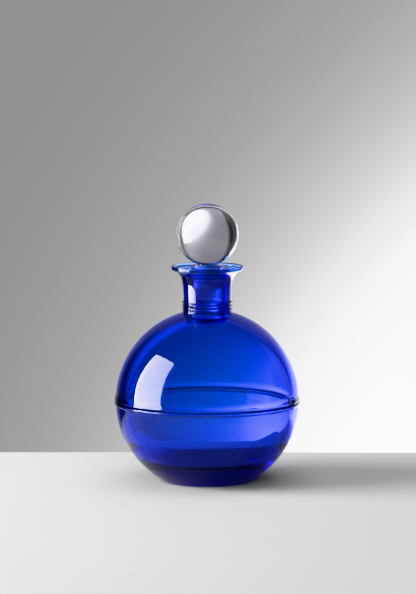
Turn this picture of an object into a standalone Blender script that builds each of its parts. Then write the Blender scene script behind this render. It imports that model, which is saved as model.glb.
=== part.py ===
"""A round stoppered perfume flacon: two glued half spheres, a collared neck and a lift-out ball stopper.

Metres, +Z up. The origin is the centre of the flat foot, and every piece is turned about the Z axis.
"""

import math

import bpy

# Driving dimensions.
SPHERE_RADIUS = 0.045
WALL = 0.004
EQUATOR_HEIGHT = 0.0393        # centre of the sphere above the flat foot
FLOOR_HEIGHT = 0.0098          # top of the thick solid base
GAP = 0.0003                   # glue line or running clearance between two pieces

LIP_PROUD = 0.0006             # how far the seam's two lips stand out of the sphere
LIP_HEIGHT = 0.0017
TONGUE_HEIGHT = 0.0016         # the bowl's tongue that laps inside the dome's rim
TONGUE_WALL = 0.0017

BORE_RADIUS = 0.0073
SPIGOT_RADIUS = 0.010          # the neck's lower end, which passes through the dome
SPIGOT_DEPTH = 0.0020          # how far it reaches below the dome's inside
NECK_FOOT_RADIUS = 0.01205
WAIST_RADIUS = 0.01165
RIB_RADIUS = 0.0125
RIB_PITCH = 0.0016
RIB_COUNT = 3
BRIM_RADIUS = 0.0177
NECK_FOOT_TOP = 0.0446         # this and the next heights are above the seam
WAIST_HEIGHT = 0.0500
BRIM_HEIGHT = 0.0664
BRIM_THICKNESS = 0.0010
BRIM_ROLL = 0.0006             # how far the brim's rounded edge runs back from its tip
FLARE_GENTLE = 0.22            # share of the flare that widens steadily; the rest curls out at the top
FLARE_CURL = 5
RIB_ROOT = 0.0002              # how far the hollows between the ribs stand out of the waist
SEAT_DROP = 0.0010             # the bore's lead-in below the stopper's seat
SEAT_MARGIN = 0.0004           # how much wider than the plug's head the seat is
DISH_INSET = 0.0022            # where the brim's dished top starts, in from its tip
DISH_DROP = 0.0004

BALL_RADIUS = 0.01515
BALL_HEIGHT = 0.0817           # the ball's centre above the seam
BALL_FOOT_RADIUS = 0.0046
CAP_RADIUS = 0.0080            # the plug's flat head, which rests on the brim
CAP_BOTTOM = 0.0657
CAP_THICKNESS = 0.0010
PLUG_RADIUS = 0.0069
PLUG_BOTTOM = 0.0558
SEAL_HEIGHT = 0.0607
SEAL_THICKNESS = 0.0016
SEAL_DEPTH = 0.0009            # how deep its groove is cut into the plug
CAP_CHAMFER = 0.0003
TIP_CHAMFER = 0.0005
BALL_FILLET_ANGLE = 4.0        # degrees of the ball that its glue fillet covers
RIM_ANGLE = -1.0               # degrees below the seam where the bowl's inside turns straight up

BIG_STEPS = 48                 # facets round the sphere
SMALL_STEPS = 40               # facets round the neck and the stopper
FLARE_STEPS = 8                # facets up the flare


def arc(centre_height, radius, start, end, count):
    """Points of a circle about (0, centre_height), with angles in degrees up from the horizontal."""
    angles = [math.radians(start + (end - start) * i / (count - 1)) for i in range(count)]
    return [(radius * math.cos(a), centre_height + radius * math.sin(a)) for a in angles]


def height_on_sphere(radius, distance):
    """Height above the seam, on a sphere of this radius, at a distance from the axis."""
    return math.sqrt(radius ** 2 - distance ** 2)


def turned(name, profile, steps, closed, material):
    """Makes an object by turning a profile of (distance, height above the seam) points about the Z axis."""
    points = [(distance, 0.0, height) for distance, height in profile]
    edges = [(i, i + 1) for i in range(len(points) - 1)]
    if closed:
        edges.append((len(points) - 1, 0))
    mesh = bpy.data.meshes.new(name)
    mesh.from_pydata(points, edges, [])
    piece = bpy.data.objects.new(name, mesh)
    mesh.materials.append(material)
    screw = piece.modifiers.new("turn", "SCREW")
    screw.axis = "Z"
    screw.steps = steps
    screw.render_steps = steps
    screw.use_merge_vertices = True
    screw.merge_threshold = 0.00001
    screw.use_smooth_shade = True
    return piece


def plastic(name, colour, roughness, transmission):
    """A cast clear plastic or a soft seal material, tinted through."""
    material = bpy.data.materials.new(name)
    material.use_nodes = True
    shader = material.node_tree.nodes["Principled BSDF"]
    shader.inputs["Base Color"].default_value = (*colour, 1.0)
    shader.inputs["Roughness"].default_value = roughness
    shader.inputs["Metallic"].default_value = 0.0
    shader.inputs["IOR"].default_value = 1.49
    shader.inputs["Transmission Weight"].default_value = transmission
    material.diffuse_color = (*colour, 1.0)
    return material


def lower_bowl(material):
    """The lower half sphere, with a thick solid base, a flat foot and a tongue on its rim."""
    inner = SPHERE_RADIUS - WALL
    floor = FLOOR_HEIGHT - EQUATOR_HEIGHT
    floor_angle = math.degrees(math.asin(floor / inner))
    foot_angle = -math.degrees(math.asin(EQUATOR_HEIGHT / SPHERE_RADIUS))
    lip_angle = -math.degrees(math.asin(LIP_HEIGHT / SPHERE_RADIUS))
    lip = SPHERE_RADIUS + LIP_PROUD
    tongue = inner + TONGUE_WALL
    profile = [(0.0, floor)]
    profile += arc(0.0, inner, floor_angle, RIM_ANGLE, 8)
    profile += [(inner, TONGUE_HEIGHT), (tongue, TONGUE_HEIGHT), (tongue, 0.0)]
    profile += [(lip - LIP_PROUD / 2, 0.0), (lip, -LIP_HEIGHT / 3), (lip - LIP_PROUD / 4, -LIP_HEIGHT * 0.8)]
    profile += arc(0.0, SPHERE_RADIUS, lip_angle, foot_angle, 11)
    profile.append((0.0, -EQUATOR_HEIGHT))
    return turned("lower_bowl", profile, BIG_STEPS, False, material)


def upper_dome(material):
    """The upper half sphere, with a hole for the neck and a rim that laps over the bowl's tongue."""
    inner = SPHERE_RADIUS - WALL
    hole = SPIGOT_RADIUS + GAP
    rebate = inner + TONGUE_WALL + GAP
    lip_angle = math.degrees(math.asin(LIP_HEIGHT / SPHERE_RADIUS))
    top_angle = math.degrees(math.acos(hole / SPHERE_RADIUS))
    inner_top_angle = math.degrees(math.acos(hole / inner))
    shoulder = TONGUE_HEIGHT + GAP
    shoulder_angle = math.degrees(math.asin(shoulder / inner))
    lip = SPHERE_RADIUS + LIP_PROUD
    profile = arc(0.0, SPHERE_RADIUS, top_angle, lip_angle, 13)
    profile += [(lip - LIP_PROUD / 4, GAP + LIP_HEIGHT * 0.7), (lip, GAP + LIP_HEIGHT / 3)]
    profile += [(lip - LIP_PROUD / 2, GAP), (rebate, GAP), (rebate, shoulder)]
    profile += arc(0.0, inner, shoulder_angle, inner_top_angle, 11)
    return turned("upper_dome", profile, BIG_STEPS, True, material)


def neck_collar(material):
    """The bored neck: a trumpet brim, three fine ribs, a foot that sits on the dome, and a spigot."""
    brim_side = BRIM_HEIGHT - BRIM_THICKNESS
    flare = []
    for i in range(FLARE_STEPS + 1):
        rise = i / FLARE_STEPS
        widening = FLARE_GENTLE * rise + (1 - FLARE_GENTLE) * rise ** FLARE_CURL
        flare.append((WAIST_RADIUS + (BRIM_RADIUS - BRIM_ROLL - WAIST_RADIUS) * widening,
                      WAIST_HEIGHT + (brim_side - WAIST_HEIGHT) * rise))
    profile = [(BRIM_RADIUS - DISH_DROP, BRIM_HEIGHT), (BRIM_RADIUS, BRIM_HEIGHT - BRIM_THICKNESS / 2)]
    profile += reversed(flare)
    for rib in range(RIB_COUNT):
        crest = NECK_FOOT_TOP + RIB_PITCH * (RIB_COUNT - rib - 0.5)
        profile += [(WAIST_RADIUS + RIB_ROOT, crest + RIB_PITCH / 2), (RIB_RADIUS, crest)]
    profile.append((NECK_FOOT_RADIUS, NECK_FOOT_TOP))
    seat = SPHERE_RADIUS + GAP
    profile.append((NECK_FOOT_RADIUS, height_on_sphere(seat, NECK_FOOT_RADIUS)))
    profile.append((SPIGOT_RADIUS, height_on_sphere(seat, SPIGOT_RADIUS)))
    spigot_end = height_on_sphere(SPHERE_RADIUS - WALL, SPIGOT_RADIUS) - SPIGOT_DEPTH
    profile += [(SPIGOT_RADIUS, spigot_end), (BORE_RADIUS, spigot_end)]
    seat_height = CAP_BOTTOM - GAP
    profile += [(BORE_RADIUS, seat_height - SEAT_DROP), (CAP_RADIUS + SEAT_MARGIN, seat_height)]
    profile.append((BRIM_RADIUS - DISH_INSET, BRIM_HEIGHT - DISH_DROP))
    return turned("neck_collar", profile, SMALL_STEPS, True, material)


def stopper_ball(material):
    """The solid ball, with a small flat foot where it is glued to the plug's head."""
    foot_height = CAP_BOTTOM + CAP_THICKNESS + GAP
    foot_angle = -math.degrees(math.asin((BALL_HEIGHT - foot_height) / BALL_RADIUS))
    profile = arc(BALL_HEIGHT, BALL_RADIUS, 90.0, foot_angle + BALL_FILLET_ANGLE, 19)
    profile[0] = (0.0, BALL_HEIGHT + BALL_RADIUS)
    profile += [(BALL_FOOT_RADIUS, foot_height), (0.0, foot_height)]
    return turned("stopper_ball", profile, SMALL_STEPS, False, material)


def stopper_plug(material):
    """The plug under the ball: a flat round head on the brim, and a shank grooved for the seal ring."""
    top = CAP_BOTTOM + CAP_THICKNESS
    groove = PLUG_RADIUS - SEAL_DEPTH
    groove_top = SEAL_HEIGHT + SEAL_THICKNESS / 2 + GAP
    groove_bottom = SEAL_HEIGHT - SEAL_THICKNESS / 2 - GAP
    profile = [(0.0, top), (CAP_RADIUS - CAP_CHAMFER, top), (CAP_RADIUS, top - CAP_CHAMFER)]
    profile += [(CAP_RADIUS, CAP_BOTTOM), (PLUG_RADIUS, CAP_BOTTOM)]
    profile += [(PLUG_RADIUS, groove_top), (groove, groove_top), (groove, groove_bottom)]
    profile += [(PLUG_RADIUS, groove_bottom), (PLUG_RADIUS, PLUG_BOTTOM + TIP_CHAMFER)]
    profile += [(PLUG_RADIUS - TIP_CHAMFER, PLUG_BOTTOM), (0.0, PLUG_BOTTOM)]
    return turned("stopper_plug", profile, SMALL_STEPS, False, material)


def stopper_seal(material):
    """The soft ring in the plug's groove, which grips the bore."""
    inside = PLUG_RADIUS - SEAL_DEPTH + GAP
    outside = BORE_RADIUS - GAP / 2
    half = SEAL_THICKNESS / 2
    shoulder = outside - half / 2
    profile = [(inside, SEAL_HEIGHT + half), (shoulder, SEAL_HEIGHT + half)]
    profile += [(outside, SEAL_HEIGHT + half / 2), (outside, SEAL_HEIGHT - half / 2)]
    profile += [(shoulder, SEAL_HEIGHT - half), (inside, SEAL_HEIGHT - half)]
    return turned("stopper_seal", profile, SMALL_STEPS, True, material)


for old in list(bpy.data.objects):
    bpy.data.objects.remove(old)

flacon = bpy.data.collections.new("perfume_flacon")
bpy.context.scene.collection.children.link(flacon)

body_blue = plastic("cobalt_acrylic", (0.0, 0.03, 0.75), 0.03, 1.0)
neck_blue = plastic("cobalt_acrylic_neck", (0.0, 0.03, 0.70), 0.03, 1.0)
clear = plastic("clear_acrylic", (0.95, 0.95, 0.97), 0.02, 1.0)
silicone = plastic("clear_silicone", (0.85, 0.87, 0.90), 0.25, 0.8)

body_pieces = [lower_bowl(body_blue), upper_dome(body_blue), neck_collar(neck_blue)]
stopper_pieces = [stopper_ball(clear), stopper_plug(clear), stopper_seal(silicone)]

# The seam's centre is the profiles' height zero.
# The stopper hangs on its own empty, on its lift and turn axis.
seam = bpy.data.objects.new("seam_level", None)
seam.location = (0.0, 0.0, EQUATOR_HEIGHT)
stopper_axis = bpy.data.objects.new("stopper_axis", None)
stopper_axis.parent = seam
for helper in (seam, stopper_axis):
    flacon.objects.link(helper)
for piece in body_pieces:
    flacon.objects.link(piece)
    piece.parent = seam
for piece in stopper_pieces:
    flacon.objects.link(piece)
    piece.parent = stopper_axis
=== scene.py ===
import math

import bpy
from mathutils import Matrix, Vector


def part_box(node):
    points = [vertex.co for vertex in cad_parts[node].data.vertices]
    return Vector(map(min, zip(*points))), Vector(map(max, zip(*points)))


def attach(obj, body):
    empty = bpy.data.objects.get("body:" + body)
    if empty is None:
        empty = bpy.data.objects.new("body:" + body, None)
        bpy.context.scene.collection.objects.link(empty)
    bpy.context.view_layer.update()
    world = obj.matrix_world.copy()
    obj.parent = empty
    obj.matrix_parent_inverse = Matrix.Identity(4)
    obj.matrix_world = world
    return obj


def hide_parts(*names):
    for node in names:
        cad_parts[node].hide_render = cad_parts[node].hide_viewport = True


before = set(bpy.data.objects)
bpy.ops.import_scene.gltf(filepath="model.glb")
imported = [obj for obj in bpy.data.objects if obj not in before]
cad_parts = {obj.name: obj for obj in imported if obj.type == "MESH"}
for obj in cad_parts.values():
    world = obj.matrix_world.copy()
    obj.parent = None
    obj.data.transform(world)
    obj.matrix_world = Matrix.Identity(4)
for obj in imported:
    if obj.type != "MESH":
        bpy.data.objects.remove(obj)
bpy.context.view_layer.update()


# ---- Lower bowl -----------------------------------------------------------------------------------
# The lower half of the sphere, cast in cobalt blue acrylic. Its base is a thick solid puck that
# weights the flacon, with a satin floor and a foot ground flat, and its rim carries the lower lip
# of the glued seam.

MM = 0.001
AROUND = 540                                   # facets round the axis on the finished pieces
WELD = 0.0005 * MM                             # points nearer than this become one
WALL = 4.0 * MM
PUCK_HEIGHT = 9.8 * MM                         # thickness of the solid base
FLOOR_FILLET = 12.0 * MM
FLOOR_MIDDLE = 0.2                             # share of the floor's reach inside its fillet
FLOOR_RISE = 20.0                              # degrees up the wall at which the fillet has ended
FOOT_ROUND = 0.8 * MM
FOOT_RISE = 1.5                                # degrees of the sphere that the foot's round takes
LIP_PROUD = 0.6 * MM
LIP_HEIGHT = 1.7 * MM
LIP_ANGLE = 4.0                                # degrees below the seam at which the lip has ended
GROOVE_HALF = 0.4 * MM                         # half the groove between the lips at its mouth
GROOVE_DEEP = 0.9 * MM                         # how far it runs in from the sphere
CEMENT = 0.03 * MM                             # how far the dissolved lips sink into each other
JOINT_GAP = 0.3 * MM                           # the dome's own box starts this far above the seam
SQUARE = 0.05 * MM                             # rounding of a corner left square by the lathe
BROKEN = 0.1 * MM                              # rounding of a corner with its edge broken

bowl_low, bowl_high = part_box("lower_bowl")
dome_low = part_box("upper_dome")[0]
seam = dome_low.z - JOINT_GAP                  # height of the seam above the table
outer = bowl_high.x - LIP_PROUD                # radius of the sphere
inner = outer - WALL


def linear(hex_colour):
    """An sRGB hex colour as linear red, green and blue."""
    values = [int(hex_colour[i:i + 2], 16) / 255 for i in (1, 3, 5)]
    return tuple(v / 12.92 if v <= 0.04045 else ((v + 0.055) / 1.055) ** 2.4 for v in values)


def arc(radius, start, end, count):
    """Points of the sphere's section at this radius, with angles in degrees above the seam."""
    angles = [math.radians(start + (end - start) * i / (count - 1)) for i in range(count)]
    return [(radius * math.cos(a), seam + radius * math.sin(a)) for a in angles]


def on_sphere(radius, angle):
    """One point of the sphere's section."""
    return arc(radius, angle, angle, 2)[0]


def softened(corners, steps=6):
    """A (distance, height) outline whose corners, given as (distance, height, radius), are rounded."""
    points = []
    for i, corner in enumerate(corners):
        radius = corner[2] if len(corner) > 2 else 0.0
        if radius == 0.0:
            points.append((corner[0], corner[1]))
            continue
        here = Vector(corner[:2])
        before = (Vector(corners[i - 1][:2]) - here).normalized()
        after = (Vector(corners[(i + 1) % len(corners)][:2]) - here).normalized()
        half = before.angle(after) / 2
        reach = min(radius / math.tan(half), 0.49 * (Vector(corners[i - 1][:2]) - here).length,
                    0.49 * (Vector(corners[(i + 1) % len(corners)][:2]) - here).length)
        true_radius = reach * math.tan(half)
        centre = here + (before + after).normalized() * (true_radius / math.sin(half))
        first = here + before * reach - centre
        last = here + after * reach - centre
        turn = first.angle_signed(last)
        for k in range(steps + 1):
            swing = -turn * k / steps
            x = first.x * math.cos(swing) - first.y * math.sin(swing)
            y = first.x * math.sin(swing) + first.y * math.cos(swing)
            points.append((centre.x + x, centre.y + y))
    return points


def add(tree, kind, settings=None, **links):
    """Adds a node, sets its attributes and its inputs, and links any input given as a socket."""
    node = tree.nodes.new(kind)
    for key, value in (settings or {}).items():
        setattr(node, key, value)
    for key, value in links.items():
        socket = node.inputs[int(key[1:])] if key[0] == "i" and key[1:].isdigit() \
            else node.inputs[key.replace("_", " ")]
        if isinstance(value, bpy.types.NodeSocket):
            tree.links.new(value, socket)
        else:
            socket.default_value = value
    return node


def math_node(tree, operation, *values):
    """The result of one Math node on the values, each a number or a socket."""
    return add(tree, "ShaderNodeMath", {"operation": operation},
               **{f"i{i}": value for i, value in enumerate(values)}).outputs[0]


def turning_tree():
    """Geometry Nodes that turn an outline about the Z axis, weld its seam and poles, and finish it."""
    tree = bpy.data.node_groups.new("turned_on_axis", "GeometryNodeTree")
    face = tree.interface
    face.new_socket("Outline", in_out="INPUT", socket_type="NodeSocketGeometry")
    face.new_socket("Around", in_out="INPUT", socket_type="NodeSocketInt")
    face.new_socket("Weld", in_out="INPUT", socket_type="NodeSocketFloat")
    face.new_socket("Finish", in_out="INPUT", socket_type="NodeSocketMaterial")
    face.new_socket("Piece", in_out="OUTPUT", socket_type="NodeSocketGeometry")
    given = tree.nodes.new("NodeGroupInput").outputs
    rows = add(tree, "FunctionNodeIntegerMath", {"operation": "ADD"}, i0=given["Around"], i1=1).outputs[0]
    size = add(tree, "GeometryNodeAttributeDomainSize", None, Geometry=given["Outline"])
    grid = add(tree, "GeometryNodeMeshGrid", None, Vertices_X=size.outputs["Point Count"], Vertices_Y=rows)
    index = tree.nodes.new("GeometryNodeInputIndex").outputs[0]
    along = add(tree, "FunctionNodeIntegerMath", {"operation": "DIVIDE_FLOOR"}, i0=index, i1=rows)
    step = add(tree, "FunctionNodeIntegerMath", {"operation": "MODULO"}, i0=index, i1=rows)
    place = tree.nodes.new("GeometryNodeInputPosition").outputs[0]
    point = add(tree, "GeometryNodeSampleIndex", {"data_type": "FLOAT_VECTOR"}, Geometry=given["Outline"],
                Value=place, Index=along.outputs[0])
    share = math_node(tree, "DIVIDE", step.outputs[0], given["Around"])
    angle = math_node(tree, "MULTIPLY", share, 2 * math.pi)
    swung = add(tree, "ShaderNodeVectorRotate", {"rotation_type": "Z_AXIS"}, Vector=point.outputs[0],
                Angle=angle)
    skin = add(tree, "GeometryNodeSetPosition", None, Geometry=grid.outputs["Mesh"],
               Position=swung.outputs[0])
    welded = add(tree, "GeometryNodeMergeByDistance", None, Geometry=skin.outputs[0],
                 Distance=given["Weld"])
    smooth = add(tree, "GeometryNodeSetShadeSmooth", None, Geometry=welded.outputs[0])
    real = add(tree, "GeometryNodeRealizeInstances", None, Geometry=smooth.outputs[0])
    done = add(tree, "GeometryNodeSetMaterial", None, Geometry=real.outputs[0], Material=given["Finish"])
    result = tree.nodes.new("NodeGroupOutput")
    tree.links.new(done.outputs[0], result.inputs[0])
    return tree


turning = turning_tree()


def turned(name, outline, finish, body, closed=False):
    """Turns an outline that runs down its outer side into a finished piece that rides on a body."""
    points = outline + outline[:1] if closed else outline
    sketch = bpy.data.meshes.new(name + "_outline")
    sketch.from_pydata([(r, 0.0, z) for r, z in points], [(i, i + 1) for i in range(len(points) - 1)], [])
    holder = bpy.data.objects.new(name + "_outline", sketch)
    bpy.context.scene.collection.objects.link(holder)
    turn = holder.modifiers.new("turn", "NODES")
    turn.node_group = turning
    named = {s.name: s.identifier for s in turning.interface.items_tree if s.in_out == "INPUT"}
    turn[named["Around"]] = AROUND
    turn[named["Weld"]] = WELD
    turn[named["Finish"]] = finish
    graph = bpy.context.evaluated_depsgraph_get()
    mesh = bpy.data.meshes.new_from_object(holder.evaluated_get(graph))
    bpy.data.objects.remove(holder)
    bpy.data.meshes.remove(sketch)
    mesh.name = name
    piece = bpy.data.objects.new(name, mesh)
    bpy.context.scene.collection.objects.link(piece)
    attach(piece, body)
    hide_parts(name)
    return piece


SHADE = 0.35                                   # share of lamp light that each skin lets through
HANDLING = 0.015                               # roughness that handling marks add to the polish
GROUND = 0.5                                   # roughness of the ground foot
GROUND_UP_TO = 0.06 * MM                       # height at which the ground foot ends
SATIN = 0.25                                   # roughness of the bowl's floor
SATIN_DEPTH = 0.1 * MM
SATIN_REACH = 34.0 * MM                        # from the foot's centre to the end of the floor


def cast_plastic(name, density, passes, ior, roughness):
    """Clear cast plastic: a polished skin with faint handling marks, satin on the bowl's floor and
    ground on its foot, and a body that absorbs light."""
    material = bpy.data.materials.new(name)
    material.use_nodes = True
    tree = material.node_tree
    shader = tree.nodes["Principled BSDF"]
    output = tree.nodes["Material Output"]
    shader.inputs["Base Color"].default_value = (1.0, 1.0, 1.0, 1.0)
    shader.inputs["IOR"].default_value = ior
    shader.inputs["Transmission Weight"].default_value = 1.0
    places = tree.nodes.new("ShaderNodeTexCoord").outputs["Object"]
    marks = add(tree, "ShaderNodeTexNoise", None, Vector=places, Scale=140.0, Detail=3.0)
    skin = add(tree, "ShaderNodeMapRange", None, Value=marks.outputs[0], From_Min=0.45, From_Max=0.75,
               To_Min=roughness, To_Max=roughness + HANDLING).outputs[0]
    height = add(tree, "ShaderNodeSeparateXYZ", None, Vector=places).outputs[2]
    foot = add(tree, "ShaderNodeMapRange", None, Value=height, From_Min=GROUND_UP_TO / 3,
               From_Max=GROUND_UP_TO, To_Min=GROUND, To_Max=0.0).outputs[0]
    level = math_node(tree, "COMPARE", height, PUCK_HEIGHT, SATIN_DEPTH)
    distance = add(tree, "ShaderNodeVectorMath", {"operation": "LENGTH"}, i0=places).outputs[1]
    on_floor = math_node(tree, "MULTIPLY", level, math_node(tree, "LESS_THAN", distance, SATIN_REACH))
    floor = math_node(tree, "MULTIPLY", on_floor, SATIN)
    finish = math_node(tree, "ADD", skin, math_node(tree, "ADD", foot, floor))
    tree.links.new(finish, shader.inputs["Roughness"])
    flow = add(tree, "ShaderNodeTexNoise", None, Vector=places, Scale=45.0, Detail=1.0)
    bump = add(tree, "ShaderNodeBump", None, Strength=0.004, Distance=0.2 * MM, Height=flow.outputs[0])
    tree.links.new(bump.outputs[0], shader.inputs["Normal"])
    body = add(tree, "ShaderNodeVolumeAbsorption", None, Color=(*passes, 1.0), Density=density)
    tree.links.new(body.outputs[0], output.inputs["Volume"])
    lamp_ray = tree.nodes.new("ShaderNodeLightPath").outputs["Is Shadow Ray"]
    passed = add(tree, "ShaderNodeBsdfTransparent", None, Color=(*[SHADE] * 3, 1.0)).outputs[0]
    lit = add(tree, "ShaderNodeMixShader", None, i0=lamp_ray, i1=shader.outputs[0], i2=passed).outputs[0]
    tree.links.new(lit, output.inputs["Surface"])
    return material


# Cast acrylic dyed cobalt: one wall takes out nearly all red, green fades, and blue passes almost whole.
ACRYLIC_IOR = 1.49
DYED = 700.0                                   # absorption per metre at full dye
cobalt = cast_plastic("cobalt_cast_acrylic", DYED, linear("#00c6fc"), ACRYLIC_IOR, 0.0)

floor_level = bowl_low.z + PUCK_HEIGHT
floor_reach = math.sqrt(inner ** 2 - (seam - floor_level) ** 2)
floor_angle = -math.degrees(math.asin((seam - floor_level) / inner))
foot_angle = -math.degrees(math.asin((seam - bowl_low.z) / outer))
foot_reach = outer * math.cos(math.radians(foot_angle))
lip = outer + LIP_PROUD

bowl_outline = [(0.0, floor_level), (floor_reach * FLOOR_MIDDLE, floor_level)]
bowl_outline += softened([(floor_reach * FLOOR_MIDDLE, floor_level),
                          (floor_reach, floor_level, FLOOR_FILLET),
                          on_sphere(inner, floor_angle + FLOOR_RISE)], 10)[1:-1]
bowl_outline += arc(inner, floor_angle + FLOOR_RISE, -0.4, 40)
bowl_outline += softened([(inner, seam - 0.5 * MM), (inner, seam + CEMENT / 2, BROKEN),
                          (outer - GROOVE_DEEP, seam + CEMENT / 2, SQUARE),
                          (lip - 0.1 * MM, seam - GROOVE_HALF, 0.45 * MM),
                          (lip, seam - LIP_HEIGHT * 0.7, 0.8 * MM),
                          (outer - 0.03 * MM, seam - LIP_HEIGHT * 1.15, 0.3 * MM),
                          on_sphere(outer, 0.5 - LIP_ANGLE)], 8)
bowl_outline += arc(outer, -LIP_ANGLE, foot_angle + FOOT_RISE, 60)
bowl_outline += softened([on_sphere(outer, foot_angle + FOOT_RISE), (foot_reach, bowl_low.z, FOOT_ROUND),
                          (foot_reach * 0.5, bowl_low.z)], 8)[1:]
bowl_outline.append((0.0, bowl_low.z))

turned("lower_bowl", bowl_outline, cobalt, "bottle")


# ---- Upper dome -----------------------------------------------------------------------------------
# The upper half of the sphere, cast in the same blue acrylic and glued lip to lip on the bowl. The
# hole at its top takes the neck's spigot.

neck_low, neck_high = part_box("neck_collar")
SPIGOT = 10.0 * MM                             # radius of the spigot below the neck
GLUE_LINE = 0.05 * MM
HOLE_ROUND = 0.15 * MM
HOLE_RISE = 1.5                                # degrees of the sphere that the hole's edge takes
FLARE_ANGLE = 5.5                              # where the dome starts to spread into its lip
hole = SPIGOT + GLUE_LINE
hole_top = math.degrees(math.acos(hole / outer))
hole_under = math.degrees(math.acos(hole / inner))

dome_outline = softened([on_sphere(inner, hole_under) + (HOLE_ROUND,),
                         on_sphere(outer, hole_top) + (HOLE_ROUND,),
                         on_sphere(outer, hole_top - HOLE_RISE)], 4)[:-1]
dome_outline += arc(outer, hole_top - HOLE_RISE, FLARE_ANGLE, 64)
dome_outline += softened([on_sphere(outer, FLARE_ANGLE - 0.5),
                          (outer + 0.1 * MM, seam + 2.7 * MM, 3.0 * MM), (lip, seam + 1.2 * MM, 2.0 * MM),
                          (lip, seam + GROOVE_HALF, 0.25 * MM),
                          (outer - GROOVE_DEEP, seam - CEMENT / 2, SQUARE),
                          (inner, seam - CEMENT / 2, BROKEN), (inner, seam + 0.5 * MM)], 8)
dome_outline += arc(inner, 1.0, hole_under - 1.0, 60)

turned("upper_dome", dome_outline, cobalt, "bottle", closed=True)


# ---- Neck -----------------------------------------------------------------------------------------
# A thick turned tube of the same blue acrylic, flared to a thin trumpet brim, with three fine ribs
# cut above a foot that sits on the dome. It is glued in by a spigot.

BORE = 7.3 * MM
WAIST = 11.65 * MM
NECK_FOOT = 12.05 * MM
RIBS = 3
RIB_CREST = 12.5 * MM
RIB_ROOT = 11.8 * MM
RIB_PITCH = 1.6 * MM
RIB_STEPS = 14
RIB_SHARPNESS = 1.6
FLARE_STEPS = 36
FLARE_GENTLE = 0.30                            # share of the flare that spreads all the way up
FLARE_CURL = 0.70                              # share that curls out just below the brim
BRIM_ROLL = 2.6 * MM                           # height of the brim's rolled edge
BRIM_REACH = 2.0 * MM                          # how far that edge stands out from the flare
DISH_REACH = 2.2 * MM                          # width of the brim outside the dished seat
DISH_DROP = 0.5 * MM
SEAT = 8.4 * MM
brim = neck_high.x
brim_top = neck_high.z
waist_height = seam + 50.0 * MM
ribs_bottom = seam + 44.6 * MM
seat_level = seam + 65.4 * MM                  # the shallow seat that the stopper's head rests on


def sphere_height(radius, distance):
    """Height of the sphere of this radius at a distance from the axis."""
    return seam + math.sqrt(radius ** 2 - distance ** 2)


neck_outline = softened([(brim - DISH_REACH, brim_top - DISH_DROP, 1.0 * MM),
                         (brim - 0.7 * MM, brim_top, 0.5 * MM), (brim, brim_top, 0.45 * MM),
                         (brim, brim_top - 1.7 * MM, 0.8 * MM),
                         (brim - BRIM_REACH, brim_top - BRIM_ROLL)], 8)[:-1]
flare_top = brim_top - BRIM_ROLL
for i in range(FLARE_STEPS + 1):
    rise = 1 - i / FLARE_STEPS
    spread = FLARE_GENTLE * rise ** 1.5 + FLARE_CURL * rise ** 7
    neck_outline.append((WAIST + (brim - BRIM_REACH - WAIST) * spread,
                         waist_height + (flare_top - waist_height) * rise))
ribs_top = ribs_bottom + RIBS * RIB_PITCH
for i in range(1, RIBS * RIB_STEPS):
    turn = 2 * math.pi * i / RIB_STEPS
    crest = (0.5 - 0.5 * math.cos(turn)) ** RIB_SHARPNESS
    neck_outline.append((RIB_ROOT + (RIB_CREST - RIB_ROOT) * crest, ribs_top - RIB_PITCH * i / RIB_STEPS))
glued = outer + GLUE_LINE
neck_outline += softened([(RIB_ROOT, ribs_bottom), (NECK_FOOT, ribs_bottom - 0.2 * MM, 0.25 * MM),
                          (NECK_FOOT, sphere_height(glued, NECK_FOOT), 0.35 * MM),
                          (SPIGOT, sphere_height(glued, SPIGOT), BROKEN), (SPIGOT, neck_low.z, 0.3 * MM),
                          (BORE, neck_low.z, 0.3 * MM), (BORE, seat_level - 1.1 * MM, 0.5 * MM),
                          (SEAT, seat_level, 0.4 * MM), (brim - DISH_REACH, brim_top - DISH_DROP)], 6)[:-1]

# The neck is turned from rod, which is dyed deeper than the cast halves.
cobalt_rod = cast_plastic("cobalt_acrylic_rod", DYED, linear("#00b5f7"), ACRYLIC_IOR, 0.0)

turned("neck_collar", neck_outline, cobalt_rod, "bottle", closed=True)


# ---- Stopper ball ---------------------------------------------------------------------------------
# A solid ball of water-clear cast acrylic, turned and flame polished. It is glued to the plug on a
# small flat with a fillet of cement round it.

ball_low, ball_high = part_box("stopper_ball")
plug_low, plug_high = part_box("stopper_plug")
ball_radius = ball_high.x
ball_middle = ball_high.z - ball_radius
BALL_FOOT = 4.6 * MM                           # radius of the flat that is glued to the plug
BALL_STEPS = 90
LAST_ANGLE = -68.0                             # where its foot starts, in degrees from its middle's level

# Water-clear acrylic still swallows a trace of red and green over the ball's width.
clear = cast_plastic("clear_cast_acrylic", 4.0, linear("#593ff9"), ACRYLIC_IOR, 0.0)

ball_outline = []
for i in range(BALL_STEPS + 1):
    a = math.radians(90.0 + (LAST_ANGLE - 90.0) * i / BALL_STEPS)
    ball_outline.append((ball_radius * math.cos(a), ball_middle + ball_radius * math.sin(a)))
ball_outline[0] = (0.0, ball_middle + ball_radius)
ball_outline += softened([ball_outline[-1], (BALL_FOOT, ball_low.z + 0.35 * MM, 1.2 * MM),
                          (BALL_FOOT + 0.25 * MM, ball_low.z, SQUARE), (0.0, ball_low.z)], 8)[1:]

turned("stopper_ball", ball_outline, clear, "stopper")


# ---- Stopper plug ---------------------------------------------------------------------------------
# The clear turned plug below the ball: a flat round head that rests on the brim, and a shank that
# hangs in the bore with a groove for the seal ring.

HEAD = 8.0 * MM
SHANK = 6.9 * MM
GROOVE = 6.0 * MM
SEAL_ROOM = 0.1 * MM                           # how much taller the groove is than the seal, each way
seal_low, seal_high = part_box("stopper_seal")
head_under = seam + 65.55 * MM
head_top = seam + 67.0 * MM

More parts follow.
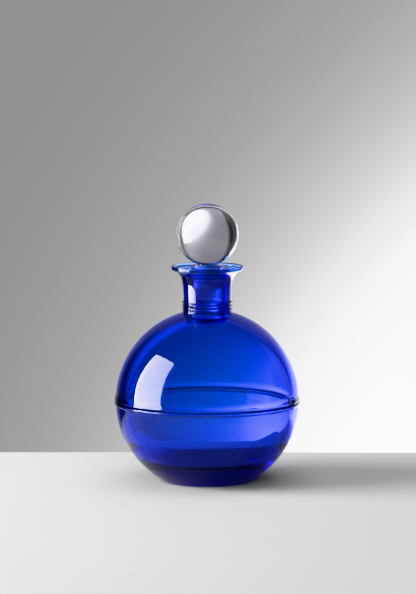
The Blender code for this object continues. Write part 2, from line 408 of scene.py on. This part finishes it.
plug_outline = [(0.0, plug_high.z), (BALL_FOOT, plug_high.z)]
plug_outline += softened([(BALL_FOOT + 0.3 * MM, plug_high.z), (BALL_FOOT + 0.6 * MM, head_top, 0.3 * MM),
                          (HEAD, head_top, 0.7 * MM), (HEAD, head_under, 0.6 * MM),
                          (SHANK, head_under, BROKEN), (SHANK, seal_high.z + SEAL_ROOM, BROKEN),
                          (GROOVE, seal_high.z + SEAL_ROOM, 0.2 * MM),
                          (GROOVE, seal_low.z - SEAL_ROOM, 0.2 * MM),
                          (SHANK, seal_low.z - SEAL_ROOM, BROKEN), (SHANK, plug_low.z, 0.5 * MM),
                          (SHANK * 0.5, plug_low.z)], 6)
plug_outline.append((0.0, plug_low.z))

turned("stopper_plug", plug_outline, clear, "stopper")


# ---- Seal ring ------------------------------------------------------------------------------------
# A moulded ring of clear silicone in the plug's groove. It is satin and softer looking than the
# polished acrylic round it.

SEAL_FIT = 0.08 * MM                           # room drawn between the ring and its neighbours
SEAL_ROUND = 0.7 * MM
SEAL_OUTER = BORE - SEAL_FIT
SEAL_INNER = GROOVE + SEAL_FIT

# Silicone bends light less than acrylic, and a satin mould leaves it softly blurred.
silicone = cast_plastic("clear_moulded_silicone", 30.0, linear("#c4d3e7"), 1.41, 0.18)

seal_outline = softened([(SEAL_INNER, seal_high.z, BROKEN), (SEAL_OUTER, seal_high.z, SEAL_ROUND),
                         (SEAL_OUTER, seal_low.z, SEAL_ROUND), (SEAL_INNER, seal_low.z, BROKEN)], 8)

turned("stopper_seal", seal_outline, silicone, "seal", closed=True)


# ---- Table, wall and lights -----------------------------------------------------------------------
# A pale matt table that ends a little behind the flacon, a wall well behind it with a painted pool of light
# low on the right, and one tall soft box on the left. Two dim lamps fill the shadows.

TABLE_BEHIND = 0.083
TABLE_FRONT = -0.9
TABLE_SIDE = 0.31
TABLE_TOP = -0.1 * MM
WALL_BEHIND = 0.95
WALL_LEFT = -1.6
WALL_RIGHT = 2.2
WALL_LOW = -1.2
WALL_HIGH = 1.3


def plane(name, corners, material):
    """A flat piece of the stage, with its corners anticlockwise as seen from its face."""
    mesh = bpy.data.meshes.new(name)
    mesh.from_pydata(corners, [], [tuple(range(len(corners)))])
    mesh.materials.append(material)
    obj = bpy.data.objects.new(name, mesh)
    bpy.context.scene.collection.objects.link(obj)
    return obj


def matt_card(name, colour):
    """Matt pale card, with the faint tooth of its paint."""
    material = bpy.data.materials.new(name)
    material.use_nodes = True
    tree = material.node_tree
    shader = tree.nodes["Principled BSDF"]
    shader.inputs["Roughness"].default_value = 0.8
    shader.inputs["Specular IOR Level"].default_value = 0.2
    places = tree.nodes.new("ShaderNodeTexCoord").outputs["Object"]
    tooth = add(tree, "ShaderNodeTexNoise", None, Vector=places, Scale=60.0, Detail=4.0)
    tint = add(tree, "ShaderNodeMix", {"data_type": "RGBA"}, Factor=tooth.outputs[0])
    tint.inputs[6].default_value = (*[c * 0.985 for c in colour], 1.0)
    tint.inputs[7].default_value = (*colour, 1.0)
    tree.links.new(tint.outputs[2], shader.inputs["Base Color"])
    return material


card = matt_card("matt_table_card", linear("#d2d1d1"))
plane("table", [(-TABLE_SIDE, TABLE_FRONT, TABLE_TOP), (TABLE_SIDE, TABLE_FRONT, TABLE_TOP),
                (TABLE_SIDE, TABLE_BEHIND, TABLE_TOP), (-TABLE_SIDE, TABLE_BEHIND, TABLE_TOP)], card)


def fade(tree, value, start, end, low, high):
    """A smooth step of a value, from low at the start to high at the end."""
    return add(tree, "ShaderNodeMapRange", {"interpolation_type": "SMOOTHSTEP"}, Value=value,
               From_Min=start, From_Max=end, To_Min=low, To_Max=high).outputs[0]


POOL_FALL = -12.0                              # how fast a pool of light falls away, as a power


def pool(tree, across, up, middle, spread, strength):
    """A round pool of light on the wall, brightest at its middle, with a long soft skirt."""
    terms = []
    for value, centre, width in zip((across, up), middle, spread):
        off = math_node(tree, "DIVIDE", math_node(tree, "SUBTRACT", value, centre), width)
        terms.append(math_node(tree, "MULTIPLY", off, off))
    spread_out = math_node(tree, "ADD", math_node(tree, "ADD", *terms), 1.0)
    return math_node(tree, "MULTIPLY", math_node(tree, "POWER", spread_out, POOL_FALL), strength)


def glowing(name):
    """A material that only glows, with its tree and the x, y and z of Object coordinates."""
    material = bpy.data.materials.new(name)
    material.use_nodes = True
    tree = material.node_tree
    tree.nodes.remove(tree.nodes["Principled BSDF"])
    places = tree.nodes.new("ShaderNodeTexCoord").outputs["Object"]
    return material, tree, add(tree, "ShaderNodeSeparateXYZ", None, Vector=places).outputs


def painted_light_wall(name):
    """A wall with a painted glow where a lamp's light would wash it, and it can be seen through from
    behind. The painted pool is capped, the more so higher up, and painted shade keeps the wall dim at its
    far left and in a strip on the right."""
    material, tree, (x, _, z) = glowing(name)
    # Its glow is all painted light: a capped pool low on the right, a faint haze, and painted shade that
    # dims the far left, the upper wall and a strip on the right.
    most = fade(tree, z, -0.35, -0.02, 5.0, 1.2)
    spot = math_node(tree, "MINIMUM", pool(tree, x, z, (0.484, -0.41), (0.805, 0.875), 48.0), most)
    haze = pool(tree, x, z, (0.5, 0.4), (0.9, 3.0), 0.15)
    base = math_node(tree, "MULTIPLY", fade(tree, x, -0.70, -0.48, 0.2, 1.0),
                     fade(tree, z, -0.8, -0.4, 0.46, 0.31))
    light = math_node(tree, "ADD", math_node(tree, "ADD", spot, haze), base)
    light = math_node(tree, "MULTIPLY", light, fade(tree, x, 0.85, 1.0, 1.0, 0.35))
    light = math_node(tree, "ADD", light, fade(tree, x, 1.08, 1.16, 0.0, 0.45))
    glow = add(tree, "ShaderNodeEmission", None, Strength=light).outputs[0]
    clear_side = tree.nodes.new("ShaderNodeBsdfTransparent").outputs[0]
    back = tree.nodes.new("ShaderNodeNewGeometry").outputs["Backfacing"]
    mixed = add(tree, "ShaderNodeMixShader", None, i0=back, i1=glow, i2=clear_side)
    tree.links.new(mixed.outputs[0], tree.nodes["Material Output"].inputs["Surface"])
    return material


wall = painted_light_wall("studio_wall_painted_light")
plane("wall", [(WALL_LEFT, WALL_BEHIND, WALL_LOW), (WALL_RIGHT, WALL_BEHIND, WALL_LOW),
               (WALL_RIGHT, WALL_BEHIND, WALL_HIGH), (WALL_LEFT, WALL_BEHIND, WALL_HIGH)], wall)

BOX_NEAR = Vector((-0.70, -0.4125, 0.0))
BOX_FAR = Vector((-0.975, 0.22, 0.0))
BOX_LOW = -0.35
BOX_HIGH = 0.88
BOX_THROUGH = 0.4                              # share of its glow that is seen through the plastic


def lit_cloth(name):
    """The front of the soft box: its cloth is brightest low and towards the back."""
    material, tree, (_, y, z) = glowing(name)
    along = fade(tree, y, BOX_NEAR.y, 0.1, 0.95, 1.3)
    up = fade(tree, z, 0.1, 0.85, 19.0, 14.0)
    inward = tree.nodes.new("ShaderNodeLightPath").outputs["Is Transmission Ray"]
    through = add(tree, "ShaderNodeMapRange", None, Value=inward, To_Min=1.0, To_Max=BOX_THROUGH).outputs[0]
    light = math_node(tree, "MULTIPLY", math_node(tree, "MULTIPLY", along, up), through)
    glow = add(tree, "ShaderNodeEmission", None, Strength=light)
    tree.links.new(glow.outputs[0], tree.nodes["Material Output"].inputs["Surface"])
    return material


low = Vector((0, 0, BOX_LOW))
high = Vector((0, 0, BOX_HIGH))
cloth = plane("soft_box_front", [BOX_NEAR + low, BOX_FAR + low, BOX_FAR + high, BOX_NEAR + high],
              lit_cloth("soft_box_cloth"))
cloth.visible_camera = False
cloth.visible_diffuse = False
cloth.visible_shadow = False


def lamp(name, size, place, aim, watts):
    """A rectangular lamp that lights the table but is not itself seen in the plastic."""
    data = bpy.data.lights.new(name, "AREA")
    data.shape = "RECTANGLE"
    data.size, data.size_y = size
    data.energy = watts
    obj = bpy.data.objects.new(name, data)
    obj.location = place
    obj.rotation_euler = Vector(aim).to_track_quat("-Z", "Y").to_euler()
    obj.visible_camera = False
    obj.visible_glossy = False
    obj.visible_transmission = False
    bpy.context.scene.collection.objects.link(obj)


box_run = BOX_FAR - BOX_NEAR
lamp("soft_box_light", (box_run.length, BOX_HIGH), (BOX_NEAR + BOX_FAR + high) / 2,
     (box_run.y, -box_run.x, 0.0), 20.0)
lamp("overhead_fill", (1.2, 1.0), (0.15, 0.1, 1.3), (0.0, 0.0, -1.0), 7.0)
lamp("front_fill", (1.6, 0.6), (0.1, -1.2, 0.6), (-0.1, 1.2, -0.6), 7.5)

world = bpy.data.worlds.new("dim_studio")
world.use_nodes = True
sky = world.node_tree
ways = sky.nodes.new("ShaderNodeTexCoord").outputs["Generated"]
upward = add(sky, "ShaderNodeSeparateXYZ", None, Vector=ways).outputs[2]
sky.links.new(fade(sky, upward, -0.2, 0.6, 0.10, 0.04), sky.nodes["Background"].inputs["Strength"])
sky.nodes["Background"].inputs["Color"].default_value = (1.0, 1.0, 1.0, 1.0)
bpy.context.scene.world = world


# ---- Camera and finish ----------------------------------------------------------------------------
# A long lens a little above the seam.

REACH = 1.76                                   # from the flacon's axis at the seam to the lens
RISE = math.radians(8.4)                       # how far above the seam it stands
TILT = math.radians(6.75)                      # how far it looks down
ASIDE = 0.0003
LENS = 217.0
camera_data = bpy.data.cameras.new("camera")
camera_data.sensor_width = 36.0
camera_data.lens = LENS
camera = bpy.data.objects.new("camera", camera_data)
camera.location = (ASIDE, -REACH * math.cos(RISE), seam + REACH * math.sin(RISE))
camera.rotation_euler = (math.pi / 2 - TILT, 0.0, 0.0)
bpy.context.scene.collection.objects.link(camera)
bpy.context.scene.camera = camera

scene = bpy.context.scene
scene.view_settings.view_transform = "Khronos PBR Neutral"
scene.cycles.max_bounces = 32
scene.cycles.transmission_bounces = 32
scene.cycles.glossy_bounces = 16
scene.cycles.caustics_refractive = False
scene.cycles.caustics_reflective = False
